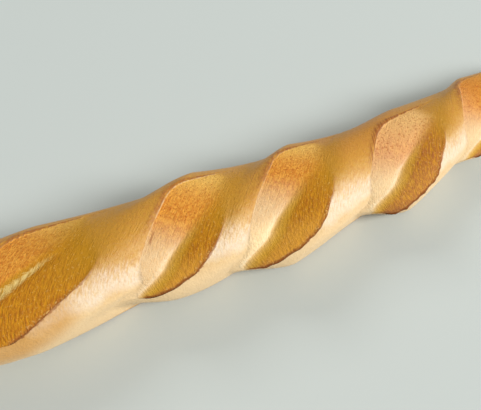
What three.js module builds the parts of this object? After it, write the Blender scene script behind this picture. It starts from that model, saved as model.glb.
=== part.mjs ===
import * as THREE from 'three';

// Sizes are in millimetres and angles in degrees.
// The loaf lies along X on its flat underside, Z = 0. Angles round it run from 0 at the top
// to 90 at the front side (-Y) and -90 at the back side (+Y).
// Length, width and height are those of the plain loaf, before the cuts open it.
const LOAF_LENGTH = 530;
const LOAF_WIDTH = 58;
const LOAF_HEIGHT = 47;
// The loaf is fullest a little to the left of its middle.
const FULLEST_AT = -35;
// Height of the widest level, and how far the round underside would hang below it
// if the baking stone had not pressed it flat.
const WIDEST_LEVEL = 21;
const UNDERSIDE_DROP = 32;
const TIP_LEVEL = 14;
// Depth of the soft turn from the side into the flat underside.
const FOOT_TURN = 4;
// The higher the power, the blunter the end of the loaf.
const LEFT_END_POWER = 3.4;
const RIGHT_END_POWER = 2.6;

// Seen from above the loaf is slightly bowed: from the middle on its lean turns the other way.
const LEFT_LEAN = -0.08;
const TURN_OF_LEAN = 0.24;
const TURN_LENGTH = 200;

// The cuts run obliquely across the top. This is how far a cut shifts along the loaf
// between the top and either side; it dies away towards the two ends.
const CUT_SHIFT = 40;
const CUT_SHIFT_FADE_POWER = 4;

// One row a cut, from the left end to the right:
// at: where its crease crosses the top, in millimetres from the middle
// turn: how much further than the other cuts it runs along the loaf
// hook: how far the crease hooks to the left near its front tip
// left, right: how far it opens to the left and to the right of the crease
// depth: how deep the crease lies below its edges
// front, back: the angles round the loaf where the left half starts and ends
// lip: the angle where the right half starts
// fullness: the lower, the blunter the right half's front tip
// crest, sink: height of the left edge at the back and at the front
// rise: height of the right edge at the front
const CUTS = [
  { at: -199, turn: 0, hook: 13, left: 30, right: 24, depth: 5.6,
    front: 88, back: -38, lip: 92, fullness: 0.35, crest: 1.5, sink: -3.0, rise: 3.5 },
  { at: -95, turn: 50, hook: 0, left: 45, right: 64, depth: 6.4,
    front: 66, back: -42, lip: 70, fullness: 0.04, crest: 0.4, sink: -3.0, rise: 6.2 },
  { at: -13, turn: 0, hook: 16, left: 34, right: 22, depth: 6.4,
    front: 89, back: -41, lip: 91, fullness: 0.38, crest: 1.8, sink: -4.4, rise: 2.4 },
  { at: 43, turn: 0, hook: 14, left: 32, right: 26, depth: 6.8,
    front: 100, back: -42, lip: 101, fullness: 0.45, crest: 0.8, sink: -1.0, rise: 6.8 },
  { at: 120, turn: 0, hook: 12, left: 38, right: 23, depth: 6.4,
    front: 96, back: -27, lip: 107, fullness: 0.18, crest: -0.4, sink: -4.6, rise: 6.2 },
  { at: 188, turn: 0, hook: 13, left: 44, right: 27, depth: 6.0,
    front: 96, back: -44, lip: 108, fullness: 0.2, crest: 1.0, sink: -3.0, rise: 6.0 },
];
// A turned cut runs further along the loaf at the front than at the back.
const TURN_TO_FRONT = 0.4;
const HOOK_ANGLES = { start: 62, end: 104 };

// The left half of an opening widens from its front tip up to this far below its back end,
// and the torn right half over a fixed reach from its own front tip. Over the top the right edge
// comes nearer to the crease, where it is a soft valley.
const LEFT_FULLNESS = 0.75;
const LEFT_TOP = 20;
const RIGHT_REACH = 50;
const RIGHT_BACK_ANGLES = { start: -27, end: 42 };
// The crease is deep at the front and dies away over the top.
const DEPTH_FULLNESS = 0.6;
const DEPTH_REACH = 50;
const CREASE_ANGLES = { start: 8, end: 55 };
// Beyond the front tips the torn crumb keeps these least half-widths, and over the top the right
// edge stays this far from the crease.
const LEFT_WAVE = 8;
const LEAST_TORN = 2.5;
const RIGHT_WAVE = 6;

// Over the top the left edge is a crest and the right edge a valley. At the front side the left
// edge is low and the right edge rises. All heights are above the plain loaf.
const VALLEY = -2.8;
const EDGE_ANGLES = { start: -55, end: 90 };
// The crust stands above the torn crumb by a small step on the left edge and by a burnt lip
// on the right edge. The lip shows at the front only. Both reach their full height where the
// opening has this share of its width.
const FULL_EDGE_FROM = 0.5;
const CRUST_STEP = 0.8;
const CRUST_STEP_RUN = 1.4;
const BURNT_LIP = 0.9;
const BURNT_LIP_TAIL = 6;
const BURNT_LIP_ANGLES = { start: 10, end: 50 };
// Between its two edges an opening slopes up to the right at the front, where each half of the torn
// crumb swells from a sharp crease. Over the top it is a bowl that falls to the right. Below the
// front tips the slope is smooth. The band of whole crust between two cuts arches up at the front
// and rounds over at the top.
const SLOPE_POWER = 1.6;
const CRUMB_SWELL = 1.5;
const BOWL_POWER = 1.7;
const BAND_ARCH = 1;
const SHARP_CREASE_ANGLES = { start: 0, end: 32 };
const BELOW_TIP_ANGLES = { start: -15, end: 15 };

// The relief dies away below the front tips, over these angles from the tips, and on the back side.
// None is left where the loaf turns under.
const LEFT_FRONT_FADE = { start: 15, end: 70 };
const RIGHT_FRONT_FADE = { start: 0, end: 85 };
const BACK_FADE = { start: 60, end: 120 };
const UNDER_FADE = { start: 125, end: 158 };

// Facets: steps in half an opening, beside a lip and at an end, the length of a step on a band
// of crust as measured at the band angle, and how many angles lie over the top and under the loaf.
const CRUMB_STEPS = 5;
const LIP_STEPS = 2;
const END_STEPS = 10;
const BAND_STEP = 13;
const LEAST_BAND_STEPS = 3;
const BAND_ANGLE = 0;
const TOP_STEPS = 39;
const UNDER_STEPS = 10;
const TOP_ANGLES = { back: -82, front: 130 };

const CRUST_COLOUR = 0xd9a458;
const CRUST_ROUGHNESS = 0.5;

const HALF_LENGTH = LOAF_LENGTH / 2;
const FULL_TURN = 360;
const WHOLE = { start: 0, end: 1 };
const { clamp, degToRad, lerp } = THREE.MathUtils;

function ease({ start, end }, value) {
  const share = clamp((value - start) / (end - start), 0, 1);
  return share * share * (3 - 2 * share);
}

// Share of the full cross-section left at a place along the loaf.
function girth(along) {
  const left = Math.max(0, FULLEST_AT - along) / (HALF_LENGTH + FULLEST_AT);
  const right = Math.max(0, along - FULLEST_AT) / (HALF_LENGTH - FULLEST_AT);
  return Math.sqrt(Math.max(0, 1 - left ** LEFT_END_POWER - right ** RIGHT_END_POWER));
}

// Sideways shift of the loaf's middle line.
function bow(along) {
  const share = clamp(along / TURN_LENGTH, 0, 1);
  const turning = TURN_LENGTH * (share ** 3 - share ** 4 / 2);
  const beyond = Math.max(0, along - TURN_LENGTH);
  return LEFT_LEAN * along + TURN_OF_LEAN * (turning + beyond);
}

// What would hang below the baking stone is pressed up to it, with a soft turn into the flat.
function pressFlat(level) {
  if (level >= FOOT_TURN) return level;
  if (level <= -FOOT_TURN) return 0;
  return (level + FOOT_TURN) ** 2 / (4 * FOOT_TURN);
}

// Share of an opening's full width: none at the front tip and all of it a reach above the tip.
function closing(angle, tip, reach, fullness) {
  return clamp((tip - angle) / reach, 0, 1) ** fullness;
}

// Height of an opening's edge above the plain loaf.
function edgeHeight(back, front, angle, tip, frontFade) {
  const shown = (1 - ease(frontFade, angle - tip)) * (1 - ease(BACK_FADE, -angle));
  return lerp(back, front, ease(EDGE_ANGLES, angle)) * shown;
}

// Places of a cut's crease and edges at one angle round the loaf, with their relief heights.
function cutAt(cut, angle) {
  const across = Math.sin(degToRad(angle));
  const turned = cut.turn * lerp(across, across * across, TURN_TO_FRONT);
  const hooked = cut.hook * ease(HOOK_ANGLES, angle) * (1 - ease(UNDER_FADE, angle));
  const crease = cut.at - turned - hooked;

  const leftReach = cut.front - cut.back - LEFT_TOP;
  const leftOpen = closing(angle, cut.front, leftReach, LEFT_FULLNESS);
  const rightOpen = closing(angle, cut.lip, RIGHT_REACH, cut.fullness) * ease(RIGHT_BACK_ANGLES, angle);
  const depthOpen = closing(angle, cut.front, DEPTH_REACH, DEPTH_FULLNESS) * ease(CREASE_ANGLES, angle);
  const leftWidth = Math.max(cut.left * leftOpen, LEFT_WAVE);
  const rightWidth = lerp(RIGHT_WAVE, cut.right, ease(RIGHT_BACK_ANGLES, angle));
  const tornWidth = clamp(cut.right * rightOpen, LEAST_TORN, rightWidth - LEAST_TORN / 2);

  const torn = ease({ start: cut.back, end: cut.back + LEFT_TOP }, angle);
  const lipShown = Math.min(1, rightOpen / FULL_EDGE_FROM) * ease(BURNT_LIP_ANGLES, angle);
  return {
    crease,
    left: crease - leftWidth,
    right: crease + rightWidth,
    tornRight: crease + tornWidth,
    leftHeight: edgeHeight(cut.crest, cut.sink, angle, cut.front, LEFT_FRONT_FADE),
    rightHeight: edgeHeight(VALLEY, cut.rise, angle, cut.lip, RIGHT_FRONT_FADE),
    depth: cut.depth * depthOpen,
    sharp: ease(SHARP_CREASE_ANGLES, angle),
    below: ease(BELOW_TIP_ANGLES, angle - cut.front),
    step: CRUST_STEP * Math.min(1, leftOpen / FULL_EDGE_FROM) * torn,
    lip: BURNT_LIP * lipShown,
  };
}

// Height between an opening's edges before the crumb tears.
function slopeHeight(cut, place) {
  const across = clamp((place - cut.left) / (cut.right - cut.left), 0, 1);
  const swollen = 1 - (1 - across) ** SLOPE_POWER;
  const rise = lerp(swollen, ease(WHOLE, across), cut.below);
  const slope = lerp(cut.leftHeight, cut.rightHeight, rise);
  const bowl = lerp(cut.rightHeight, cut.leftHeight, (1 - across) ** BOWL_POWER);
  return lerp(bowl, slope, cut.sharp);
}

// Height of the torn crumb at a share of the way from the crease to its edge.
function crumbHeight(cut, place, share) {
  const across = clamp((place - cut.left) / (cut.right - cut.left), 0, 1);
  const torn = cut.depth * (1 - share) ** CRUMB_SWELL;
  return slopeHeight(cut, place) - torn - cut.step * (1 - across);
}

// Height of the crust at a share of the way from one opening to the next.
function bandHeight(cut, next, share) {
  const arched = lerp(cut.rightHeight, next.leftHeight, share) + BAND_ARCH * 4 * share * (1 - share);
  const rounded = lerp(cut.rightHeight, next.leftHeight, ease(WHOLE, share));
  return lerp(rounded, arched, cut.sharp);
}

// What is left of the burnt lip's height at a place to the right of it.
function lipTail(cut, place) {
  return cut.lip * Math.exp((cut.tornRight - place) / BURNT_LIP_TAIL);
}

// As many steps on a band of crust as its length needs.
function bandSteps(cut, next) {
  const start = cutAt(cut, BAND_ANGLE).right;
  const end = cutAt(next, BAND_ANGLE).left;
  return Math.max(LEAST_BAND_STEPS, Math.round((end - start) / BAND_STEP));
}

// Along the loaf at one angle: places and relief heights from the left tip to the right tip.
function reliefAlong(angle) {
  const cuts = CUTS.map((cut) => cutAt(cut, angle));
  const first = cuts[0];
  const last = cuts[cuts.length - 1];
  const stations = [];
  const add = (place, height) => stations.push({ place, height });

  for (let i = 1; i < END_STEPS; i += 1) {
    const share = 1 - Math.cos((i / END_STEPS) * Math.PI / 2);
    add(lerp(-HALF_LENGTH, first.left - CRUST_STEP_RUN, share), first.leftHeight * share * share);
  }
  cuts.forEach((cut, index) => {
    add(cut.left - CRUST_STEP_RUN, cut.leftHeight);
    for (let i = CRUMB_STEPS; i >= 0; i -= 1) {
      const place = lerp(cut.crease, cut.left, i / CRUMB_STEPS);
      add(place, crumbHeight(cut, place, i / CRUMB_STEPS));
    }
    for (let i = 1; i < CRUMB_STEPS; i += 1) {
      const place = lerp(cut.crease, cut.tornRight, i / CRUMB_STEPS);
      add(place, crumbHeight(cut, place, i / CRUMB_STEPS));
    }
    for (let i = 0; i < LIP_STEPS; i += 1) {
      const place = lerp(cut.tornRight, cut.right, i / LIP_STEPS);
      add(place, slopeHeight(cut, place) + lipTail(cut, place));
    }
    if (cut === last) return;
    const next = cuts[index + 1];
    const steps = bandSteps(CUTS[index], CUTS[index + 1]);
    for (let i = 0; i < steps; i += 1) {
      const place = lerp(cut.right, next.left - CRUST_STEP_RUN, i / steps);
      add(place, bandHeight(cut, next, i / steps) + lipTail(cut, place));
    }
  });
  for (let i = 0; i < END_STEPS; i += 1) {
    const share = 1 - Math.sin((i / END_STEPS) * Math.PI / 2);
    const place = lerp(HALF_LENGTH, last.right, share);
    add(place, last.rightHeight * share * share + lipTail(last, place));
  }
  return stations;
}

// A point of the crust at a place along the loaf and an angle round it, raised by a relief height.
function crustPoint(place, angle, height) {
  const shift = CUT_SHIFT * (1 - (Math.abs(place) / HALF_LENGTH) ** CUT_SHIFT_FADE_POWER);
  const across = Math.sin(degToRad(angle));
  const up = Math.cos(degToRad(angle));
  const along = place - shift * across;
  const share = girth(along);
  const halfWidth = LOAF_WIDTH / 2 * share;
  const halfHeight = (up > 0 ? LOAF_HEIGHT - WIDEST_LEVEL : UNDERSIDE_DROP) * share;
  const shown = share * (1 - ease(UNDER_FADE, Math.abs(angle)));
  const outwardAcross = across / halfWidth;
  const outwardUp = up / halfHeight;
  const raised = height * shown / Math.hypot(outwardAcross, outwardUp);
  const level = lerp(TIP_LEVEL, WIDEST_LEVEL, share) + halfHeight * up + raised * outwardUp;
  const sideways = bow(along) - halfWidth * across - raised * outwardAcross;
  return new THREE.Vector3(along, sideways, pressFlat(level));
}

// Angles round the loaf, closer together over the top than underneath.
function roundAngles() {
  const angles = [];
  for (let i = 0; i < TOP_STEPS; i += 1) {
    angles.push(lerp(TOP_ANGLES.back, TOP_ANGLES.front, i / TOP_STEPS));
  }
  for (let i = 0; i < UNDER_STEPS; i += 1) {
    const angle = lerp(TOP_ANGLES.front, TOP_ANGLES.back + FULL_TURN, i / UNDER_STEPS);
    angles.push(angle > FULL_TURN / 2 ? angle - FULL_TURN : angle);
  }
  return angles;
}

// The skin is a net of rings between the two tips, and the rings follow the edges of the cuts.
function loafGeometry() {
  const columns = roundAngles().map((angle) =>
    reliefAlong(angle).map(({ place, height }) => crustPoint(place, angle, height)));
  const rings = columns[0].length;
  const tips = [-HALF_LENGTH, HALF_LENGTH].map((along) => new THREE.Vector3(along, bow(along), TIP_LEVEL));
  const pointAt = (column, ring) => tips.length + (column % columns.length) * rings + ring;
  const faces = [];
  for (let column = 0; column < columns.length; column += 1) {
    faces.push(0, pointAt(column + 1, 0), pointAt(column, 0));
    for (let ring = 0; ring < rings - 1; ring += 1) {
      const here = pointAt(column, ring);
      const along = pointAt(column, ring + 1);
      const round = pointAt(column + 1, ring);
      const opposite = pointAt(column + 1, ring + 1);
      faces.push(here, round, along, along, round, opposite);
    }
    faces.push(1, pointAt(column, rings - 1), pointAt(column + 1, rings - 1));
  }
  const geometry = new THREE.BufferGeometry().setFromPoints([...tips, ...columns.flat()]);
  geometry.setIndex(faces);
  geometry.computeVertexNormals();
  return geometry;
}

// The origin lies under the middle of the loaf's outline.
function centreOnFootprint(geometry) {
  geometry.computeBoundingBox();
  const middle = geometry.boundingBox.getCenter(new THREE.Vector3());
  return geometry.translate(-middle.x, -middle.y, 0);
}

const crust = new THREE.MeshStandardMaterial({
  color: CRUST_COLOUR,
  roughness: CRUST_ROUGHNESS,
  metalness: 0,
});
const loaf = new THREE.Mesh(centreOnFootprint(loafGeometry()), crust);
loaf.name = 'baguette';

const part = new THREE.Group();
part.add(loaf);

export default part;
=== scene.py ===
import math
from collections import namedtuple
from types import SimpleNamespace

import bpy
import numpy as np
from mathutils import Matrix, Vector
from mathutils.kdtree import KDTree


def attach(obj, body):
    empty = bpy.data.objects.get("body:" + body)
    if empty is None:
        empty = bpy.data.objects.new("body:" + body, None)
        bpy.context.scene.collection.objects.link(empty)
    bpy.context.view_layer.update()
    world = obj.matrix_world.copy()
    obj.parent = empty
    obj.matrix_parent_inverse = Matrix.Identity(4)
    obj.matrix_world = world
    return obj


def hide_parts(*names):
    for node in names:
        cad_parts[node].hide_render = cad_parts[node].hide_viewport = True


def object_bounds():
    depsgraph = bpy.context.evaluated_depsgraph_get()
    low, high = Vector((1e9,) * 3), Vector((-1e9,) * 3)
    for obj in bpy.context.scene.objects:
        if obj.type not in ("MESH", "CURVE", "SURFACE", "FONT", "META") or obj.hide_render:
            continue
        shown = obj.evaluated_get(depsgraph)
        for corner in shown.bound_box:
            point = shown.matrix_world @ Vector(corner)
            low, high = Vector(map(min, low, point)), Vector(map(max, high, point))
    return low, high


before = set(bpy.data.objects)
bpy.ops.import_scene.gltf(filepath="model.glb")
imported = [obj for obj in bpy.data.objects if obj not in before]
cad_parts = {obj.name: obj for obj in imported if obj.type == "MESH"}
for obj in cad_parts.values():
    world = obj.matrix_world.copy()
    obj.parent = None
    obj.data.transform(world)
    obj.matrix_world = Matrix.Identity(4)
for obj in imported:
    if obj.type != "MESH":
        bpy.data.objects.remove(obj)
cad_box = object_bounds()

# A baguette with six opened cuts on a plain pale floor.
# Shapes are worked out in millimetres and degrees, and made in metres.
# The loaf lies along X on its flat underside. Angles round it run from 0 at the top
# to 90 at the front side (-Y) and -90 at the back side (+Y).
MM = 0.001
LOAF_NODE = "baguette"

# The plain loaf, before the cuts open it. It is fullest a little to the left of its middle.
LOAF_LENGTH = (cad_box[1].x - cad_box[0].x) / MM
HALF_LENGTH = LOAF_LENGTH / 2
LOAF_WIDTH = 58
LOAF_HEIGHT = 47
FULLEST_AT = -35
# Height of the widest level, and how far the round underside would hang below it
# if it had not been pressed flat, with a soft turn of this depth into the flat.
WIDEST_LEVEL = 21
UNDERSIDE_DROP = 32
FOOT_TURN = 4
# The higher the power, the blunter the end of the loaf.
LEFT_END_POWER = 3.4
RIGHT_END_POWER = 2.6
# Level of the two tips, and the share of the cross-section that is left there.
TIP_LEVEL = 14
LEAST_GIRTH = 1e-6
# Seen from above the loaf is slightly bowed: from the middle on its lean turns the other way.
LEFT_LEAN = -0.08
TURN_OF_LEAN = 0.24
TURN_LENGTH = 200

# The cuts run obliquely across the top. This is how far a cut shifts along the loaf
# between the top and either side; it dies away towards the two ends.
CUT_SHIFT = 40
CUT_SHIFT_FADE_POWER = 4
# One row a cut, from the left end to the right, with the same values as the solid:
# at: where its crease crosses the top, in millimetres from the middle
# turn: how much further than the other cuts it runs along the loaf
# hook: how far the crease hooks to the left near its front tip
# left, right: how far it opens to the left and to the right of the crease
# depth: how deep the crease lies below its edges
# front, back: the angles round the loaf where the left half starts and ends
# lip: the angle where the right half starts
# fullness: the lower, the blunter the right half's front tip
# crest, sink: height of the left edge at the back and at the front
# rise: height of the right edge at the front
Cut = namedtuple("Cut", "at turn hook left right depth front back lip fullness crest sink rise")
CUTS = [
    Cut(at=-199, turn=0, hook=13, left=30, right=24, depth=5.6,
        front=88, back=-38, lip=92, fullness=0.35, crest=1.5, sink=-3.0, rise=3.5),
    Cut(at=-95, turn=50, hook=0, left=45, right=64, depth=6.4,
        front=66, back=-42, lip=70, fullness=0.04, crest=0.4, sink=-3.0, rise=6.2),
    Cut(at=-13, turn=0, hook=16, left=34, right=22, depth=6.4,
        front=89, back=-41, lip=91, fullness=0.38, crest=1.8, sink=-4.4, rise=2.4),
    Cut(at=43, turn=0, hook=14, left=32, right=26, depth=6.8,
        front=100, back=-42, lip=101, fullness=0.45, crest=0.8, sink=-1.0, rise=6.8),
    Cut(at=120, turn=0, hook=12, left=38, right=23, depth=6.4,
        front=96, back=-27, lip=107, fullness=0.18, crest=-0.4, sink=-4.6, rise=6.2),
    Cut(at=188, turn=0, hook=13, left=44, right=27, depth=6.0,
        front=96, back=-44, lip=108, fullness=0.2, crest=1.0, sink=-3.0, rise=6.0),
]
# A turned cut runs further along the loaf at the front than at the back.
TURN_TO_FRONT = 0.4
# The angles over which a crease hooks.
HOOK_ANGLES = (62, 104)

# The left half of an opening widens from its front tip up to this far below its back end,
# and the torn right half over a fixed reach from its own front tip. Over the top the right edge
# comes nearer to the crease, where it is a soft valley.
LEFT_FULLNESS = 0.75
LEFT_TOP = 20
LEFT_TOP_POWER = 5
RIGHT_REACH = 50
RIGHT_BACK_ANGLES = (-27, 42)
# The crease is deep at the front and dies away over the top.
DEPTH_FULLNESS = 0.6
DEPTH_REACH = 50
CREASE_ANGLES = (8, 55)
# Beyond the front tips the torn crumb keeps these least half-widths, and over the top the right
# edge stays this far from the crease.
LEFT_WAVE = 8
LEAST_TORN = 2.5
RIGHT_WAVE = 6

# Over the top the left edge is a crest and the right edge a valley. At the front side the left edge
# is low and the right edge rises. All heights are above the plain loaf.
VALLEY = -2.8
EDGE_ANGLES = (-55, 90)
# The crust stands above the torn crumb by a small step on the left edge and by a burnt lip
# on the right edge. The lip shows at the front only, and the step fades out there. Both reach their
# full height where the opening has this share of its width.
FULL_EDGE_FROM = 0.5
CRUST_STEP = 0.8
CRUST_STEP_RUN = 0.9
CRUST_STEP_FADE = (30, 58)
BURNT_LIP = 0.9
BURNT_LIP_RUN = 1.4
BURNT_LIP_TAIL = 3
BURNT_LIP_DROP = 0.5
BURNT_LIP_ANGLES = (10, 50)
# Between its two edges an opening slopes up to the right at the front, where each half of the torn
# crumb swells from a sharp crease. Over the top it is a bowl that falls to the right. Below the
# front tips the slope is smooth. The band of whole crust between two cuts arches up at the front
# and rounds over at the top.
BAND_ARCH = 1
CRUMB_SWELL = 1.5
BOWL_POWER = 1.7
SLOPE_POWER = 1.6
BELOW_TIP_ANGLES = (-15, 15)
SHARP_CREASE_ANGLES = (0, 32)
# The relief dies away below the front tips, over these angles from the tips, and on the back side.
# None is left where the loaf turns under.
LEFT_FRONT_FADE = (15, 70)
RIGHT_FRONT_FADE = (0, 85)
BACK_FADE = (60, 120)
UNDER_FADE = (125, 158)
# The higher the power, the sooner the relief dies away from the outermost edges to the two tips.
END_FADE_POWER = 2

# Fine relief: jagged lips, torn streaks in the openings and slow waves in the crust, each a field of
# random hills with a height and sizes of its own. Streaks die away near the edges of an opening.
HILL_TABLE = 256
LIP_JAG = 0.8
LIP_JAG_ANGLE = 3
LIP_JAG_SEED = 40
STREAK_SLANT = 0.45
STREAK_RELIEF = 0.07
STREAK_SIZE = (3.4, 12)
STREAK_SEED = 7
STREAK_INSET = 3
CRUST_WAVE = 0.35
CRUST_WAVE_SIZE = (26, 20)
CRUST_WAVE_SEED = 8
# A pale crack in the second cut, an inset to the right of its crease. It opens and closes over the
# first and the last third of its angles.
CRACKED_CUT = 1
CRACK_INSET = 9.5
CRACK_HALF_WIDTH = 8
CRACK_DEPTH = 1.6
CRACK_ANGLES = (2, 42)
# A thin slit in the third cut, an inset to the right of its left edge.
SLIT_CUT = 2
SLIT_INSET = 2.6
# Distances from the crack and the slit are kept up to this far.
FLAW_REACH = 30

# Net of the skin: step lengths along the loaf, and how many angles lie over the top and underneath.
CRUMB_STEP = 1.6
LIP_STEPS = 5
BAND_STEP = 2.4
LEAST_BAND_STEPS = 12
END_STEPS = 36
TOP_STEPS = 170
UNDER_STEPS = 24
TOP_ANGLES = (-84, 142)
FULL_TURN = 360
# Length round the loaf of one degree.
ROUND_STEP = math.pi * LOAF_WIDTH / FULL_TURN
# Points of an edge for each angle of the skin.
EDGE_FINENESS = 6

# How the loaf browned, and the painted light and shade on the banks of the openings and in the valleys.
# Across the creases and the right edges colours change softly over the top and sharply at the front: the
# two softnesses, and the angles between which they change.
CREASE_SOFTNESS = (9, 3.6)
CREASE_SOFT_ANGLES = (12, 48)
RIGHT_EDGE_SOFTNESS = (7, 0.4)
SOFT_EDGE_ANGLES = (5, 38)
# The left edge is sharp over the top and soft at the front.
LEFT_EDGE_SOFTNESS = (0.3, 3)
LEFT_SOFT_ANGLES = (32, 66)
# The back end of an opening is cut off at its right corner, over this many millimetres and degrees,
# and soft over these degrees.
BACK_CORNER = (16, 22)
BACK_SOFTNESS = (-5, 7)
# Inside an opening the distance from an edge stops growing here, over the top and at the front.
EDGE_LIMIT = (7, 3)
# Where the pale left bank of each opening starts, over how many degrees it grows pale, and how far
# it reaches beyond the crease. The bank is partly paler baking and partly painted light.
PALE_STARTS = (16, 16, 16, 11, 29, 30)
PALE_RUN = 34
PALE_BEYOND = 1.4
# The angles over which the right bank grows dark, partly browner baking and partly painted shade, and how
# much earlier it does in a turned cut.
BANK_ANGLES = (-12, 25)
BANK_TURN = 0.4
# How far the yellow back of each opening reaches, in degrees, and the softness of its end as a share.
YELLOW_REACH = (34, 30, 34, 34, 42, 34)
YELLOW_SOFTNESS = 0.5
# Pale and yellow parts end on a slant, in degrees for each millimetre.
BAKING_SLANT = 0.7
# The painted shade in the valleys over the top: their widths to the left and to the right, which grow in a
# turned cut.
VALLEY_WIDTHS = (11, 6)
VALLEY_ANGLES = (18, 52)
VALLEY_BACK_ANGLES = (38, 75)
VALLEY_TURN = 0.025
# The crust to the right of the openings in the left part of the loaf is toasted, over these distances
# from their right edges, up to these places along the loaf.
FRINGE_REACH = (-24, -6)
FRINGE_ENDS = (-102, -84)

# Noises of the material by name: scale, detail and roughness. Those in the grain, which follows the
# torn streaks, have one scale across it and one along it.
PLACE_NOISES = {
    "toast": (22, 2, 0.5),
    "blotch": (60, 3, 0.5),
    "mottle": (420, 3, 0.6),
    "fleck": (900, 2, 0.5),
}
GRAIN_NOISES = {
    "streak": ((1.1, 0.28, 1), 4, 0.65),
    "strand": ((0.5, 1.6, 1), 3, 0.6),
}
# The middle of a noise's values, and the scale of the lines that make bristles.
NOISE_MIDDLE = 0.5
BRISTLE_SCALE = 0.6
# How far noises shift the bounds of colours: in degrees on the crust, in millimetres at the lip and
# at the crack.
RAGGED_BY_STREAK = 24
RAGGED_BY_BLOTCH = 30
RAGGED_LIP = 2.4
RAGGED_CRACK = 12
# The burnt line on a lip and the crack grow wider over these angles.
LIP_WIDTHS = (0.4, 1.8)
LIP_WIDTH_ANGLES = (40, 92)
CRACK_WIDTHS = (3.5, 9)
CRACK_WIDTH_ANGLES = (6, 34)
# Gloss and bump. The bump of the crust is weaker low on the front side.
CRUST_ROUGHNESS = 0.38
CRUMB_ROUGHNESS = 0.85
BLOTCH_ROUGHNESS = 0.1
SPECULAR_LEVEL = 0.38
BUMP_HEIGHT = 0.7 * MM
CRUST_BUMP = (0.7, 0.15)
CRUST_BUMP_ANGLES = (25, 60)
DOT_BUMP = 0.4

# Colours as seen on screen, 0 to 255.
GOLDEN = (198, 142, 50)
TOASTED = (196, 140, 60)
TAWNY = (188, 124, 48)
PALE_CRUST = (224, 186, 121)
LOW_CRUST = (238, 205, 156)
PAINTED_SHEEN = (240, 223, 202)
OLIVE = (177, 125, 14)
SCORCHED = (150, 86, 40)
YELLOW = (243, 197, 98)
ORANGE = (229, 157, 57)
RUSSET = (208, 129, 41)
SPECK = (178, 88, 24)
PEACH = (234, 184, 142)
CREAM = (228, 193, 144)
BRIGHT_CREAM = (254, 225, 174)
CREASE_HIGHLIGHT = (255, 240, 206)
PAINTED_CREASE_SHADE = (176, 128, 14)
OCHRE = (226, 174, 52)
AMBER = (207, 140, 14)
LOW_AMBER = (234, 170, 64)
BROWN = (171, 101, 5)
REDDISH = (172, 100, 52)
GLINT = (236, 190, 110)
RIM_HIGHLIGHT = (244, 210, 160)
BURNT = (142, 78, 22)
STRAW = (228, 200, 126)

# A paint is a base with layers laid over it in order. A layer has a colour or a paint of its own, its
# greatest share, and limits that cut the share down. A limit names a field of the material: alone it
# is the field itself, with two ends it goes from 0 at the first end to 1 at the second one, and with
# two more numbers from the first of these to the second. The fields are angles in degrees, places and
# distances in millimetres, and noises and masks from 0 to 1. Two are distances as shares of a width,
# across_lip and from_crack, and mottled_streak is the sum of two noises.
Paint = namedtuple("Paint", "base layers")
Layer = namedtuple("Layer", "paint share limits")

OVER_TOP = ("angle", 25, -10)
PAST_LEFT_EDGE = ("left", -0.5, 0.5)
BEFORE_RIGHT_EDGE = ("right", -0.5, 0.5)
BY_LIP = [("right", 2.9, 0.4), ("angle", 25, 50), PAST_LEFT_EDGE]
IN_CRACK = [("angle", 4, 15), ("angle", 42, 32)]
IN_SLIT = [("angle", 14, 17), ("angle", 28, 25)]

CRUST = Paint(GOLDEN, [
    # The front side is paler than the top, partly from paler baking and partly as a painted highlight.
    Layer(PALE_CRUST, 1, [("ragged_angle", 10, 54)]),
    # Toasted patches, freckles and dots.
    Layer(TOASTED, 0.25, [("toast", 0.4, 0.65)]),
    Layer(TOASTED, 0.3, [("blotch", 0.45, 0.7)]),
    Layer(TAWNY, 0.4, [("mottle", 0.45, 0.62)]),
    Layer(TAWNY, 0.2, [("fleck", 0.48, 0.36)]),
    # The top is browner between the fourth and the fifth cut.
    Layer(TAWNY, 0.5, [("along", 30, 60), ("along", 130, 100), OVER_TOP]),
    # Both sides are pale low down, the front side partly as painted light, and the foot is toasted.
    Layer(LOW_CRUST, 0.9, [("angle", 42, 84)]),
    Layer(LOW_CRUST, 0.8, [("angle", -70, -112)]),
    Layer(TOASTED, 1, [("level", 4, 0.5)]),
    # A streaky whitish band of painted highlight runs along the front side.
    Layer(PAINTED_SHEEN, 0.7, [
        ("ragged_angle", 28, 54), ("ragged_angle", 72, 58), ("streak", 0.35, 0.6, 0.45, 1)]),
    # Toasted fringes beside the openings in the left part of the loaf, and olive painted shade in the
    # valleys over the top.
    Layer(TOASTED, 1, ["fringe", ("blotch", 0.15, 0.6, 0.4, 0.8)]),
    Layer(OLIVE, 0.5, ["valley"]),
    # Over the top the left edges have scorched borders.
    Layer(SCORCHED, 0.7, [
        ("left", -5, -0.5), ("left", 0.6, 0.1), ("mottle", 0.25, 0.6), OVER_TOP, BEFORE_RIGHT_EDGE]),
])

# The dark right bank of an opening: partly browner baking, partly painted shade where it faces away from the
# light.
DARK_BANK = Paint(AMBER, [
    Layer(BROWN, 1, [("streak", 0.34, 0.66)]),
    # It is lighter low down, apart from the left part of the loaf.
    Layer(LOW_AMBER, 0.5, [("angle", 42, 68), ("along", -75, -50)]),
    # Painted shade by the crease.
    Layer(PAINTED_CREASE_SHADE, 0.6, [("crease", 10, 2), ("angle", 5, 30)]),
    # It is redder in the right part of the loaf, at the front tips and by the lip, which has pale flecks
    # that are painted glints.
    Layer(REDDISH, 1, [("along", 40, 90), ("streak", 0.35, 0.65, 0.1, 0.7)]),
    Layer(REDDISH, 0.7, [("angle", 82, 105)]),
    Layer(REDDISH, 0.5, BY_LIP),
    Layer(GLINT, 0.7, BY_LIP + [("fleck", 0.53, 0.63)]),
])

# The pale left bank of an opening: partly paler baking, partly painted light where it faces the light.
PALE_BANK = Paint(CREAM, [
    # It is brightest low down in the fourth cut.
    Layer(BRIGHT_CREAM, 1, [("angle", 34, 66), ("along", -60, 10, 0.1, 1), ("along", 40, 80, 1, 0.4)]),
])

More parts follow.
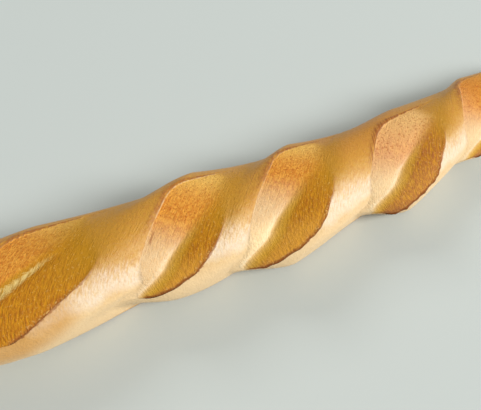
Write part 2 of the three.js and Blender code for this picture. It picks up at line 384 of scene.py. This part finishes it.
CRUMB = Paint(ORANGE, [
    Layer(RUSSET, 1, [("mottled_streak", 0.85, 1.15)]),
    Layer(YELLOW, 0.8, ["yellow"]),
    # The fifth cut is peach-coloured, the sixth one russet.
    Layer(PEACH, 0.4, [("along", 40, 90), ("along", 170, 140)]),
    Layer(RUSSET, 0.6, [("along", 140, 170)]),
    Layer(SPECK, 0.55, [("fleck", 0.46, 0.34)]),
    Layer(DARK_BANK, 1, ["bank"]),
    Layer(PALE_BANK, 1, ["pale", ("streak", 0.7, 0.35, 0.75, 1)]),
    # A painted highlight along the left of the crease, and a painted glow to the right of it.
    Layer(CREASE_HIGHLIGHT, 0.4, [
        ("crease", -7, -2), ("crease", 3, -1), ("angle", 26, 50), ("streak", 0.62, 0.4, 0.3, 1)]),
    Layer(OCHRE, 0.6, [("crease", -2, 2), ("crease", 8, 3), ("angle", 22, 42)]),
    # Olive painted shade in the valleys over the top, and pale flecks that are painted glints.
    Layer(OLIVE, 0.95, ["valley"]),
    Layer(GLINT, 0.25, [("fleck", 0.58, 0.72)]),
])

CRACK = Paint(STRAW, [
    Layer(OLIVE, 1, [("streak", 0.4, 0.7)]),
])

LOAF = Paint(CRUST, [
    Layer(CRUMB, 1, ["torn"]),
    # The crack with a painted shadow to the left of it, and the slit.
    Layer(PAINTED_CREASE_SHADE, 0.6, IN_CRACK + [("crack", -12, -6), ("crack", 0, -4)]),
    Layer(CRACK, 0.9, IN_CRACK + [("from_crack", 1.1, 0.4)]),
    Layer(SCORCHED, 0.55, IN_SLIT + [("from_slit", 1, 0.4)]),
    # Over the top, pits inside the left edges and ticks outside them.
    Layer(SCORCHED, 0.8, [
        ("fleck", 0.62, 0.68), ("left", 0.3, 1), ("left", 6, 2.5), ("angle", 10, -15), BEFORE_RIGHT_EDGE]),
    Layer(SCORCHED, 0.75, [
        ("streak", 0.5, 0.6), ("left", -3.5, -1.2), ("left", 0.6, 0), ("angle", 5, -15), BEFORE_RIGHT_EDGE]),
    # Short bristles along the left edge of the fifth cut.
    Layer(BURNT, 0.8, [
        ("bristle", 0.48, 0.56), ("left", -4.4, -2), ("left", 0.5, 0.1), ("angle", 34, 18),
        ("along", 50, 65), ("along", 135, 120), BEFORE_RIGHT_EDGE]),
    # The burnt lips.
    Layer(BURNT, 1, [
        ("ragged_right", -1, -0.4), ("across_lip", 1.3, 0.3), ("angle", 15, 42),
        ("angle", 30, 85, 0.5, 0.95), PAST_LEFT_EDGE]),
    # A broken rim of painted highlight on the left edges, fainter towards both ends of the loaf.
    Layer(RIM_HIGHLIGHT, 0.6, [
        ("left", -0.5, -0.1), ("left", 0.7, 0.2), ("angle", 60, 35), ("streak", 0.35, 0.6),
        ("along", -90, -60, 0.2, 1), ("along", -20, 30, 1, 0.4), BEFORE_RIGHT_EDGE]),
])

# The floor, the lights, the sky and the camera. Sizes and places are in metres, and powers in watts.
# A direction is two angles in degrees: round the object, from its front to the right, and above the floor.
FLOOR_SIZE = 6
FLOOR_COLOUR = (192, 198, 193)
FLOOR_ROUGHNESS = 0.8
KEY_DIRECTION = (45, 35)
KEY_POWER = 720
FILL_DIRECTION = (165, 40)
FILL_POWER = 230
LIGHT_DISTANCE = 8
LIGHT_SIZE = 3
SKY_COLOUR = (0.95, 0.98, 1.0, 1)
SKY_STRENGTH = 0.3
CAMERA_DIRECTION = (-26.97, 55.9)
CAMERA_PLACE = (-0.06135, -0.12623, 0.23701)
CAMERA_CLIP = 0.01
# Width of the image and focal length in pixels, and width of the sensor in millimetres.
IMAGE_WIDTH = 481
FOCAL_PIXELS = 468
SENSOR_WIDTH = 36


def mix(low, high, share):
    return low + (high - low) * share


def ease(start, end, value):
    """A soft step from 0 at the start to 1 at the end."""
    share = np.clip((value - start) / (end - start), 0, 1)
    return share * share * (3 - 2 * share)


def hills(across, along, seed):
    """Smooth random hills between -1 and 1, about one unit apart."""
    table = np.random.default_rng(seed).uniform(-1, 1, (HILL_TABLE, HILL_TABLE))
    column = np.floor(across).astype(int)
    row = np.floor(along).astype(int)
    right = ease(0, 1, across - column)
    up = ease(0, 1, along - row)

    def corner(columns, rows):
        return table[(column + columns) % HILL_TABLE, (row + rows) % HILL_TABLE]

    near = mix(corner(0, 0), corner(1, 0), right)
    far = mix(corner(0, 1), corner(1, 1), right)
    return mix(near, far, up)


def girth(along):
    """Share of the full cross-section left at a place along the loaf."""
    left = np.maximum(0, FULLEST_AT - along) / (HALF_LENGTH + FULLEST_AT)
    right = np.maximum(0, along - FULLEST_AT) / (HALF_LENGTH - FULLEST_AT)
    return np.sqrt(np.maximum(0, 1 - left**LEFT_END_POWER - right**RIGHT_END_POWER))


def bow(along):
    """Sideways shift of the loaf's middle line."""
    share = np.clip(along / TURN_LENGTH, 0, 1)
    turning = TURN_LENGTH * (share**3 - share**4 / 2)
    beyond = np.maximum(0, along - TURN_LENGTH)
    return LEFT_LEAN * along + TURN_OF_LEAN * (turning + beyond)


def press_flat(level):
    """What would hang below the floor is pressed up to it, with a soft turn into the flat."""
    turn = (level + FOOT_TURN) ** 2 / (4 * FOOT_TURN)
    return np.where(level >= FOOT_TURN, level, np.where(level <= -FOOT_TURN, 0, turn))


def closing(angle, tip, reach, fullness):
    """Share of an opening's full width: none at the front tip and all of it a reach above the tip."""
    return np.clip((tip - angle) / reach, 0, 1) ** fullness


def edge_height(back, front, angle, tip, front_fade):
    """Height of an opening's edge above the plain loaf."""
    height = mix(back, front, ease(*EDGE_ANGLES, angle))
    return height * (1 - ease(*front_fade, angle - tip)) * (1 - ease(*BACK_FADE, -angle))


def cut_at(number, cut, angle):
    """Places of a cut's crease and edges at the angles round the loaf, with their relief heights."""
    across = np.sin(np.radians(angle))
    turned = cut.turn * mix(across, across * across, TURN_TO_FRONT)
    hooked = cut.hook * ease(*HOOK_ANGLES, angle) * (1 - ease(*UNDER_FADE, angle))
    crease = cut.at - turned - hooked
    left_top = cut.back + LEFT_TOP
    left_open = closing(angle, cut.front, cut.front - left_top, LEFT_FULLNESS)
    top_open = np.sqrt(1 - np.clip((left_top - angle) / LEFT_TOP, 0, 1) ** LEFT_TOP_POWER)
    right_open = closing(angle, cut.lip, RIGHT_REACH, cut.fullness) * ease(*RIGHT_BACK_ANGLES, angle)
    depth_open = closing(angle, cut.front, DEPTH_REACH, DEPTH_FULLNESS) * ease(*CREASE_ANGLES, angle)
    left_width = np.maximum(cut.left * left_open, LEFT_WAVE)
    right_width = mix(RIGHT_WAVE, cut.right, ease(*RIGHT_BACK_ANGLES, angle))
    torn_width = np.clip(cut.right * right_open, LEAST_TORN, right_width - LEAST_TORN / 2)
    step = CRUST_STEP * np.minimum(1, left_open / FULL_EDGE_FROM)
    lip_jag = LIP_JAG * hills(angle / LIP_JAG_ANGLE, angle * 0, number + LIP_JAG_SEED)
    lip_shown = np.minimum(1, right_open / FULL_EDGE_FROM) * ease(*BURNT_LIP_ANGLES, angle)
    return SimpleNamespace(
        number=number,
        cut=cut,
        crease=crease,
        left=crease - left_width,
        right=crease + right_width,
        torn_left=crease - cut.left * left_open * top_open,
        torn_right=crease + torn_width,
        left_height=edge_height(cut.crest, cut.sink, angle, cut.front, LEFT_FRONT_FADE),
        right_height=edge_height(VALLEY, cut.rise, angle, cut.lip, RIGHT_FRONT_FADE),
        depth=cut.depth * depth_open,
        sharp=ease(*SHARP_CREASE_ANGLES, angle),
        step=step * (1 - ease(*CRUST_STEP_FADE, angle)),
        below=ease(*BELOW_TIP_ANGLES, angle - cut.front),
        lip=BURNT_LIP * lip_shown * (1 + lip_jag),
    )


def slope_height(cut, place):
    """Height between an opening's edges before the crumb tears: a slope at the front side, and over
    the top a bowl that falls from the left edge to the right one."""
    across = np.clip((place - cut.left) / (cut.right - cut.left), 0, 1)
    swollen = 1 - (1 - across) ** SLOPE_POWER
    slope = mix(cut.left_height, cut.right_height, mix(swollen, ease(0, 1, across), cut.below))
    bowl = mix(cut.right_height, cut.left_height, (1 - across) ** BOWL_POWER)
    return mix(bowl, slope, cut.sharp)


def crumb_height(cut, place, share):
    """Height of the torn crumb, which swells from the crease, at a share of the way to its edge."""
    across = np.clip((place - cut.left) / (cut.right - cut.left), 0, 1)
    step = cut.step * ease(cut.torn_left - CRUST_STEP_RUN, cut.torn_left, place) * (1 - across)
    return slope_height(cut, place) - cut.depth * (1 - share) ** CRUMB_SWELL - step


def band_height(cut, following, share):
    """Height of the crust at a share of the way from one opening to the following one."""
    arched = mix(cut.right_height, following.left_height, share) + BAND_ARCH * 4 * share * (1 - share)
    rounded = mix(cut.right_height, following.left_height, ease(0, 1, share))
    return mix(rounded, arched, cut.sharp)


def lip_tail(cut, place):
    """What is left of the burnt lip's height at a place to the right of it."""
    return BURNT_LIP_DROP * cut.lip * np.exp((cut.torn_right - place) / BURNT_LIP_TAIL)


def lay_rings(angle):
    """Places and relief heights of rings from the left tip to the right tip, at the angles round."""
    cuts = [cut_at(number, cut, angle) for number, cut in enumerate(CUTS)]
    rings = []

    def add(place, height):
        rings.append((place + 0 * angle, height + 0 * angle))

    first, last = cuts[0], cuts[-1]
    for i in range(1, END_STEPS):
        share = 1 - math.cos(i / END_STEPS * math.pi / 2)
        at = mix(-HALF_LENGTH, first.left - CRUST_STEP_RUN, share)
        add(at, first.left_height * share**END_FADE_POWER)
    for cut in cuts:
        add(cut.left - CRUST_STEP_RUN, cut.left_height)
        left_steps = round(cut.cut.left / CRUMB_STEP)
        for i in range(left_steps, -1, -1):
            at = mix(cut.crease, cut.left, i / left_steps)
            add(at, crumb_height(cut, at, i / left_steps))
        right_steps = round(cut.cut.right / CRUMB_STEP)
        for i in range(1, right_steps + 1):
            at = mix(cut.crease, cut.torn_right - BURNT_LIP_RUN, i / right_steps)
            add(at, crumb_height(cut, at, i / right_steps))
        add(cut.torn_right, slope_height(cut, cut.torn_right) + cut.lip)
        for i in range(LIP_STEPS):
            at = mix(cut.torn_right + BURNT_LIP_RUN / 2, cut.right, i / LIP_STEPS)
            add(at, slope_height(cut, at) + lip_tail(cut, at))
        if cut is last:
            continue
        following = cuts[cut.number + 1]
        band_end = following.left - CRUST_STEP_RUN
        steps = max(LEAST_BAND_STEPS, round(np.median(band_end - cut.right) / BAND_STEP))
        for i in range(steps):
            at = mix(cut.right, band_end, i / steps)
            add(at, band_height(cut, following, i / steps) + lip_tail(cut, at))
    for i in range(END_STEPS):
        share = 1 - math.sin(i / END_STEPS * math.pi / 2)
        at = mix(HALF_LENGTH, last.right, share)
        add(at, last.right_height * share**END_FADE_POWER + lip_tail(last, at))
    place, height = np.array(rings).transpose(1, 0, 2)
    return cuts, place, height


def crust_point(place, angle, height):
    """Points of the crust at places along the loaf and angles round it, raised by relief heights."""
    shift = CUT_SHIFT * (1 - (np.abs(place) / HALF_LENGTH) ** CUT_SHIFT_FADE_POWER)
    across = np.sin(np.radians(angle))
    up = np.cos(np.radians(angle))
    along = place - shift * across
    share = np.maximum(girth(along), LEAST_GIRTH)
    half_width = LOAF_WIDTH / 2 * share
    half_height = np.where(up > 0, LOAF_HEIGHT - WIDEST_LEVEL, UNDERSIDE_DROP) * share
    faded = ease(*UNDER_FADE, np.abs(angle))
    outward_across = across / half_width
    outward_up = up / half_height
    raised = height * share * (1 - faded) / np.hypot(outward_across, outward_up)
    level = mix(TIP_LEVEL, WIDEST_LEVEL, share) + half_height * up + raised * outward_up
    sideways = bow(along) - half_width * across - raised * outward_across
    return np.stack([along, sideways, press_flat(level)], axis=-1)


def round_angles():
    """Angles round the loaf, closer together over the top than underneath."""
    top = np.linspace(*TOP_ANGLES, TOP_STEPS, endpoint=False)
    under = np.linspace(TOP_ANGLES[1], TOP_ANGLES[0] + FULL_TURN, UNDER_STEPS, endpoint=False)
    return np.concatenate([top, np.where(under > FULL_TURN / 2, under - FULL_TURN, under)])


def measure_to(points, curve):
    """Distance of each point from the nearest point of a curve."""
    tree = KDTree(len(curve))
    for index, point in enumerate(curve):
        tree.insert(point, index)
    tree.balance()
    return np.array([tree.find(point)[2] for point in points])


def nearest_part(cuts, cut, place):
    """Which points lie nearer to this cut than to the ones before and after it."""
    nearest = np.ones(place.shape, bool)
    if cut.number > 0:
        nearest &= place > (cuts[cut.number - 1].right + cut.left) / 2
    if cut.number < len(cuts) - 1:
        nearest &= place <= (cut.right + cuts[cut.number + 1].left) / 2
    return nearest


def open_angles(cut, angle):
    """At which angles an opening shows."""
    return (angle > cut.cut.back) & (angle < max(cut.cut.front, cut.cut.lip))


def edge_curve(angle, edge, height, low, high):
    """Points of an opening's edge between two angles, closer together than those of the skin."""
    fine = np.linspace(*TOP_ANGLES, TOP_STEPS * EDGE_FINENESS)
    part = fine[(fine > low) & (fine < high)]
    along = np.interp(part, angle[:TOP_STEPS], edge[:TOP_STEPS])
    raised = np.interp(part, angle[:TOP_STEPS], height[:TOP_STEPS])
    return crust_point(along, part, raised)


def edge_fields(cuts, angle, place, points):
    """For each point of the skin: distance to the left edge and to the right edge of the nearest
    opening, positive on the side of the opening, where it stops growing at a limit, and how many
    degrees it lies from the opening's back end, which is cut off at its right corner."""
    limit = np.broadcast_to(mix(*EDGE_LIMIT, ease(*SOFT_EDGE_ANGLES, angle)), place.shape)
    edges = np.zeros(place.shape + (3,))
    for cut in cuts:
        nearest = nearest_part(cuts, cut, place)
        shown = open_angles(cut, angle)
        left_height = slope_height(cut, cut.torn_left) - cut.step
        right_height = slope_height(cut, cut.torn_right) + cut.lip
        curves = [
            edge_curve(angle, cut.torn_left, left_height, cut.cut.back, cut.cut.front),
            edge_curve(angle, cut.torn_right, right_height, RIGHT_BACK_ANGLES[0], cut.cut.lip),
        ]
        insides = [shown & (place > cut.torn_left), shown & (place < cut.torn_right)]
        for side, (curve, inside) in enumerate(zip(curves, insides)):
            distance = measure_to(points[nearest], curve)
            signed = np.where(inside[nearest], distance, -distance)
            edges[nearest, side] = np.minimum(signed, limit[nearest])
        from_corner = (place - cut.crease) / BACK_CORNER[0] + 1
        from_back = angle - cut.cut.back - BACK_CORNER[1] * np.clip(from_corner, 0, 1)
        edges[nearest, 2] = from_back[nearest]
    return edges.reshape(-1, 3)


def yellow_field(cuts, angle, place):
    """How yellow the torn crumb is near the back end of an opening, 0 to 1."""
    yellow = np.zeros(place.shape)
    for cut, reach in zip(cuts, YELLOW_REACH):
        from_back = angle - cut.cut.back - BAKING_SLANT * (place - cut.crease)
        faded = ease(reach * (1 - YELLOW_SOFTNESS), reach * (1 + YELLOW_SOFTNESS), from_back)
        nearest = nearest_part(cuts, cut, place)
        yellow[nearest] = 1 - faded[nearest]
    return yellow.ravel()


def baking_and_painted_light_fields(cuts, angle, place):
    """Soft masks, 0 to 1: the pale left bank of an opening, partly paler baking and partly painted light;
    its dark right bank, partly browner baking and partly painted shade; and the painted shade of the valley
    over the top."""
    baking_and_painted_light = np.zeros(place.shape + (3,))
    softness = mix(*CREASE_SOFTNESS, ease(*CREASE_SOFT_ANGLES, angle))
    over_top = (1 - ease(*VALLEY_ANGLES, angle)) * (1 - ease(*VALLEY_BACK_ANGLES, -angle))
    for cut, start in zip(cuts, PALE_STARTS):
        nearest = nearest_part(cuts, cut, place)
        from_crease = place - cut.crease
        beyond_crease = ease(-softness, softness, from_crease - PALE_BEYOND)
        pale = (1 - beyond_crease) * ease(start, start + PALE_RUN, angle - BAKING_SLANT * from_crease)
        bank = beyond_crease * ease(*BANK_ANGLES, angle + BANK_TURN * cut.cut.turn)
        baking_and_painted_light[nearest, 0] = pale[nearest]
        baking_and_painted_light[nearest, 1] = bank[nearest]
        from_valley = place - cut.right
        width = np.where(from_valley < 0, *VALLEY_WIDTHS) * (1 + VALLEY_TURN * cut.cut.turn)
        valley = np.exp(-((from_valley / width) ** 2)) * over_top
        baking_and_painted_light[..., 2] = np.maximum(baking_and_painted_light[..., 2], valley)
    return baking_and_painted_light.reshape(-1, 3)


def seam_fields(cuts, place):
    """Distances along the loaf from the nearest crease, from the crack and from the slit."""
    from_crease = np.zeros(place.shape)
    for cut in cuts:
        nearest = nearest_part(cuts, cut, place)
        from_crease[nearest] = (place - cut.crease)[nearest]
    from_crack = place - cuts[CRACKED_CUT].crease - CRACK_INSET
    from_slit = place - cuts[SLIT_CUT].torn_left - SLIT_INSET
    from_crack = np.clip(from_crack, -FLAW_REACH, FLAW_REACH)
    from_slit = np.clip(from_slit, -FLAW_REACH, FLAW_REACH)
    return np.stack([from_crease, from_crack, from_slit], axis=-1).reshape(-1, 3)


def fringe_field(edges, seams, along):
    """How toasted the crust is to the right of the openings in the left part of the loaf, 0 to 1."""
    toasted = ease(*FRINGE_REACH, edges[:, 1]) * (1 - ease(*FRINGE_ENDS, along))
    return np.where(seams[:, 0] > 0, toasted, 0)


def torn_inside(cut, angle, place):
    """1 well inside the torn crumb of an opening, less near its edges, and 0 outside."""
    inside = open_angles(cut, angle) & (place > cut.torn_left) & (place < cut.torn_right)
    from_left = ease(cut.torn_left, cut.torn_left + STREAK_INSET, place)
    from_right = 1 - ease(cut.torn_right - STREAK_INSET, cut.torn_right, place)
    return np.where(inside, from_left * from_right, 0)


def fine_relief(cuts, angle, place):
    """Heights of the streaks in the torn crumb, the slow waves in the crust and the crack."""
    around = angle * ROUND_STEP
    torn = np.zeros(place.shape)
    for cut in cuts:
        torn += torn_inside(cut, angle, place)
    streak = place - STREAK_SLANT * around
    streaks = hills(streak / STREAK_SIZE[0], around / STREAK_SIZE[1], STREAK_SEED)
    waves = hills(place / CRUST_WAVE_SIZE[0], around / CRUST_WAVE_SIZE[1], CRUST_WAVE_SEED)
    relief = torn * STREAK_RELIEF * streaks + (1 - torn) * CRUST_WAVE * waves

    from_crack = (place - cuts[CRACKED_CUT].crease - CRACK_INSET) / CRACK_HALF_WIDTH
    low, high = CRACK_ANGLES
    third = (high - low) / 3
    opened = ease(low, low + third, angle) * (1 - ease(high - third, high, angle))
    return relief - CRACK_DEPTH * opened * np.exp(-(from_crack**2))


def loaf_mesh():
    """The skin, a net of rings between the two tips, with fields for the material at its points."""
    angle = round_angles()
    cuts, place, height = lay_rings(angle)
    height = height + fine_relief(cuts, angle, place)
    skin = crust_point(place, angle, height)
    rings, columns = place.shape
    tips = [[along, bow(along), TIP_LEVEL] for along in (-HALF_LENGTH, HALF_LENGTH)]
    points = np.concatenate([skin.reshape(-1, 3), tips])
    middle = (points.min(0) + points.max(0)) / 2
    points[:, :2] -= middle[:2]

    index = np.arange(rings * columns).reshape(rings, columns)
    beside = np.roll(index, -1, axis=1)
    quads = np.stack([index[:-1], beside[:-1], beside[1:], index[1:]], axis=-1).reshape(-1, 4)
    left_tip, right_tip = rings * columns, rings * columns + 1
    left_fan = [(left_tip, b, a) for a, b in zip(index[0], beside[0])]
    right_fan = [(right_tip, a, b) for a, b in zip(index[-1], beside[-1])]

    mesh = bpy.data.meshes.new(LOAF_NODE)
    mesh.from_pydata((points * MM).tolist(), [], quads.tolist() + left_fan + right_fan)
    mesh.shade_smooth()

    around = np.broadcast_to(angle * ROUND_STEP, place.shape)
    grain = np.stack([place - STREAK_SLANT * around, around, 0 * place], axis=-1).reshape(-1, 3)
    edges = edge_fields(cuts, angle, place, skin)
    seams = seam_fields(cuts, place)
    store(mesh, "grain", grain)
    store(mesh, "angle", np.broadcast_to(angle, place.shape).ravel())
    store(mesh, "edges", edges)
    store(mesh, "baking_and_painted_light", baking_and_painted_light_fields(cuts, angle, place))
    store(mesh, "yellow", yellow_field(cuts, angle, place))
    store(mesh, "seams", seams)
    store(mesh, "fringe", fringe_field(edges, seams, skin[..., 0].ravel()))
    return mesh


def store(mesh, name, values):
    """Keeps a value or a vector for each point of the mesh; the two tips repeat their neighbours."""
    values = np.concatenate([values, values[:1], values[-1:]]).astype(np.float32)
    kind, key = ("FLOAT", "value") if values.ndim == 1 else ("FLOAT_VECTOR", "vector")
    mesh.attributes.new(name, kind, "POINT").data.foreach_set(key, values.ravel())


def srgb(red, green, blue):
    """A colour as seen on screen, 0 to 255, as the linear colour that shaders take."""
    def linear(value):
        value = value / 255
        return value / 12.92 if value <= 0.04045 else ((value + 0.055) / 1.055) ** 2.4

    return (linear(red), linear(green), linear(blue), 1)


class Shader:
    """Builds one material out of nodes. Values given to its methods are numbers, colours or sockets."""

    # Numbers of a mix node's sockets for colours.
    MIX_SHARE = 0
    MIX_LOW = 6
    MIX_HIGH = 7
    MIX_RESULT = 2

    def __init__(self, name):
        self.material = bpy.data.materials.new(name)
        self.material.use_nodes = True
        self.tree = self.material.node_tree
        self.surface = self.tree.nodes["Principled BSDF"]
        self.fields = {}

    def join(self, socket, value):
        if isinstance(value, bpy.types.NodeSocket):
            self.tree.links.new(value, socket)
        else:
            socket.default_value = value

    def node(self, kind, **settings):
        made = self.tree.nodes.new(kind)
        for key, value in settings.items():
            setattr(made, key, value)
        return made

    def stored(self, name, output="Fac"):
        """What the mesh keeps at its points under a name."""
        return self.node("ShaderNodeAttribute", attribute_name=name).outputs[output]

    def parts(self, vector):
        made = self.node("ShaderNodeSeparateXYZ")
        self.join(made.inputs[0], vector)
        return made.outputs

    def place(self):
        return self.node("ShaderNodeTexCoord").outputs["Object"]

    def stretched(self, vector, scale):
        made = self.node("ShaderNodeMapping")
        self.join(made.inputs["Vector"], vector)
        made.inputs["Scale"].default_value = scale
        return made.outputs[0]

    def noise(self, vector, scale, detail, roughness):
        made = self.node("ShaderNodeTexNoise")
        self.join(made.inputs["Vector"], vector)
        made.inputs["Scale"].default_value = scale
        made.inputs["Detail"].default_value = detail
        made.inputs["Roughness"].default_value = roughness
        return made.outputs["Fac"]

    def lines(self, value, scale):
        """Random lines across a value."""
        made = self.node("ShaderNodeTexNoise", noise_dimensions="1D")
        self.join(made.inputs["W"], value)
        made.inputs["Scale"].default_value = scale
        return made.outputs["Fac"]

    def spread(self, value, low, high, to_low=0.0, to_high=1.0):
        """Goes softly from one number to another while a value goes from low to high."""
        made = self.node("ShaderNodeMapRange", interpolation_type="SMOOTHSTEP")
        for socket, given in zip(made.inputs, (value, low, high, to_low, to_high)):
            self.join(socket, given)
        return made.outputs[0]

    def past(self, distance, softness):
        """0 to 1 across an edge, from a softness before it to a softness behind it."""
        return self.spread(distance, self.times(softness, -1), softness)

    def math(self, operation, first, second):
        made = self.node("ShaderNodeMath", operation=operation)
        self.join(made.inputs[0], first)
        self.join(made.inputs[1], second)
        return made.outputs[0]

    def size(self, value):
        """A value without its sign."""
        return self.math("ABSOLUTE", value, 0)

    def times(self, *values):
        product = values[0]
        for value in values[1:]:
            product = self.math("MULTIPLY", product, value)
        return product

    def plus(self, first, second):
        return self.math("ADD", first, second)

    def blend(self, share, low, high):
        made = self.node("ShaderNodeMix", data_type="RGBA")
        self.join(made.inputs[self.MIX_SHARE], share)
        self.join(made.inputs[self.MIX_LOW], low)
        self.join(made.inputs[self.MIX_HIGH], high)
        return made.outputs[self.MIX_RESULT]

    def ragged(self, noise, size):
        """A noise as a shift to both sides."""
        return self.times(self.math("SUBTRACT", noise, NOISE_MIDDLE), size)

    def limit(self, limit):
        """The share that a limit leaves of a layer."""
        if isinstance(limit, str):
            return self.fields[limit]
        name, *ends = limit
        return self.spread(self.fields[name], *ends)

    def colour(self, paint):
        """A plain colour as it is, or a paint with its layers laid over each other."""
        if not isinstance(paint, Paint):
            return srgb(*paint)
        colour = self.colour(paint.base)
        for layer in paint.layers:
            share = self.times(layer.share, *map(self.limit, layer.limits))
            colour = self.blend(share, colour, self.colour(layer.paint))
        return colour

    def bump(self, height, distance):
        made = self.node("ShaderNodeBump")
        self.join(made.inputs["Height"], height)
        made.inputs["Distance"].default_value = distance
        self.join(self.surface.inputs["Normal"], made.outputs[0])


def crust_fields(shader):
    """The fields that the loaf's paints use: the place, what the mesh keeps, noises, and what is
    worked out from them."""
    fields = shader.fields
    place = shader.place()
    grain = shader.stored("grain", "Vector")
    along, _, level = shader.parts(place)
    fields["along"] = shader.times(along, 1 / MM)
    fields["level"] = shader.times(level, 1 / MM)
    for name in ("angle", "yellow", "fringe"):
        fields[name] = shader.stored(name)
    fields["left"], fields["right"], fields["back"] = shader.parts(shader.stored("edges", "Vector"))
    fields["pale"], fields["bank"], fields["valley"] = shader.parts(shader.stored("baking_and_painted_light", "Vector"))
    fields["crease"], fields["crack"], fields["slit"] = shader.parts(shader.stored("seams", "Vector"))
    for name, (scale, detail, roughness) in PLACE_NOISES.items():
        fields[name] = shader.noise(place, scale, detail, roughness)
    for name, (scales, detail, roughness) in GRAIN_NOISES.items():
        fields[name] = shader.noise(shader.stretched(grain, scales), 1, detail, roughness)

    angle, streak, blotch, mottle = (fields[name] for name in ("angle", "streak", "blotch", "mottle"))
    by_streak = shader.ragged(streak, RAGGED_BY_STREAK)
    by_blotch = shader.ragged(blotch, RAGGED_BY_BLOTCH)
    fields["ragged_angle"] = shader.plus(angle, shader.plus(by_streak, by_blotch))
    fields["mottled_streak"] = shader.plus(mottle, streak)

    fields["ragged_right"] = shader.plus(fields["right"], shader.ragged(mottle, RAGGED_LIP))
    lip_width = shader.spread(angle, *LIP_WIDTH_ANGLES, *LIP_WIDTHS)
    fields["across_lip"] = shader.math("DIVIDE", fields["ragged_right"], lip_width)

    ragged_crack = shader.plus(fields["crack"], shader.ragged(fields["strand"], RAGGED_CRACK))
    crack_width = shader.spread(angle, *CRACK_WIDTH_ANGLES, *CRACK_WIDTHS)
    fields["from_crack"] = shader.math("DIVIDE", shader.size(ragged_crack), crack_width)
    fields["from_slit"] = shader.size(fields["slit"])

    across_grain, around, _ = shader.parts(grain)
    across_bristles = shader.plus(across_grain, shader.times(around, STREAK_SLANT - 1))
    fields["bristle"] = shader.lines(across_bristles, BRISTLE_SCALE)

    left_softness = shader.spread(angle, *LEFT_SOFT_ANGLES, *LEFT_EDGE_SOFTNESS)
    right_softness = shader.spread(angle, *SOFT_EDGE_ANGLES, *RIGHT_EDGE_SOFTNESS)
    fields["torn"] = shader.times(
        shader.past(fields["left"], left_softness),
        shader.past(fields["right"], right_softness),
        shader.spread(fields["back"], *BACK_SOFTNESS),
    )


def crust_material():
    shader = Shader("crust")
    crust_fields(shader)
    fields = shader.fields
    surface = shader.surface.inputs
    shader.join(surface["Base Color"], shader.colour(LOAF))

    roughness = shader.spread(fields["torn"], 0, 1, CRUST_ROUGHNESS, CRUMB_ROUGHNESS)
    roughness = shader.plus(roughness, shader.times(fields["blotch"], BLOTCH_ROUGHNESS))
    shader.join(surface["Roughness"], roughness)
    surface["Specular IOR Level"].default_value = SPECULAR_LEVEL

    crust_bump = shader.spread(fields["angle"], *CRUST_BUMP_ANGLES, *CRUST_BUMP)
    streaks = shader.times(shader.spread(fields["torn"], 0, 1, crust_bump, 1), fields["streak"])
    dots = shader.times(shader.plus(fields["fleck"], fields["mottle"]), DOT_BUMP)
    shader.bump(shader.plus(streaks, dots), BUMP_HEIGHT)
    return shader.material


def make_loaf():
    loaf = bpy.data.objects.new("loaf", loaf_mesh())
    bpy.context.scene.collection.objects.link(loaf)
    loaf.data.materials.append(crust_material())
    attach(loaf, "root")
    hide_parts(LOAF_NODE)


def towards(azimuth, elevation):
    """Unit vector from the object towards a viewer or a light."""
    turn, rise = math.radians(azimuth), math.radians(elevation)
    return Vector((math.sin(turn) * math.cos(rise), -math.cos(turn) * math.cos(rise), math.sin(rise)))


def make_floor():
    half = FLOOR_SIZE / 2
    corners = [(-half, -half, 0), (half, -half, 0), (half, half, 0), (-half, half, 0)]
    mesh = bpy.data.meshes.new("floor")
    mesh.from_pydata(corners, [], [(0, 1, 2, 3)])
    floor = bpy.data.objects.new("floor", mesh)
    bpy.context.scene.collection.objects.link(floor)
    shader = Shader("floor")
    shader.surface.inputs["Base Color"].default_value = srgb(*FLOOR_COLOUR)
    shader.surface.inputs["Roughness"].default_value = FLOOR_ROUGHNESS
    mesh.materials.append(shader.material)


def make_light(name, direction, power, glossy):
    light = bpy.data.objects.new(name, bpy.data.lights.new(name, "AREA"))
    light.data.size = LIGHT_SIZE
    light.data.energy = power
    light.visible_glossy = glossy
    light.location = towards(*direction) * LIGHT_DISTANCE
    light.rotation_euler = towards(*direction).to_track_quat("Z", "Y").to_euler()
    bpy.context.scene.collection.objects.link(light)


def make_sky():
    world = bpy.data.worlds.new("sky")
    world.use_nodes = True
    background = world.node_tree.nodes["Background"]
    background.inputs["Color"].default_value = SKY_COLOUR
    background.inputs["Strength"].default_value = SKY_STRENGTH
    bpy.context.scene.world = world


def make_camera():
    camera = bpy.data.objects.new("camera", bpy.data.cameras.new("camera"))
    camera.data.sensor_width = SENSOR_WIDTH
    camera.data.lens = SENSOR_WIDTH * FOCAL_PIXELS / IMAGE_WIDTH
    camera.data.clip_start = CAMERA_CLIP
    camera.location = CAMERA_PLACE
    camera.rotation_euler = towards(*CAMERA_DIRECTION).to_track_quat("Z", "Y").to_euler()
    bpy.context.scene.collection.objects.link(camera)
    bpy.context.scene.camera = camera


make_loaf()
make_floor()
make_light("key", KEY_DIRECTION, KEY_POWER, glossy=True)
make_light("fill", FILL_DIRECTION, FILL_POWER, glossy=False)
make_sky()
make_camera()
bpy.context.scene.view_settings.view_transform = "Standard"
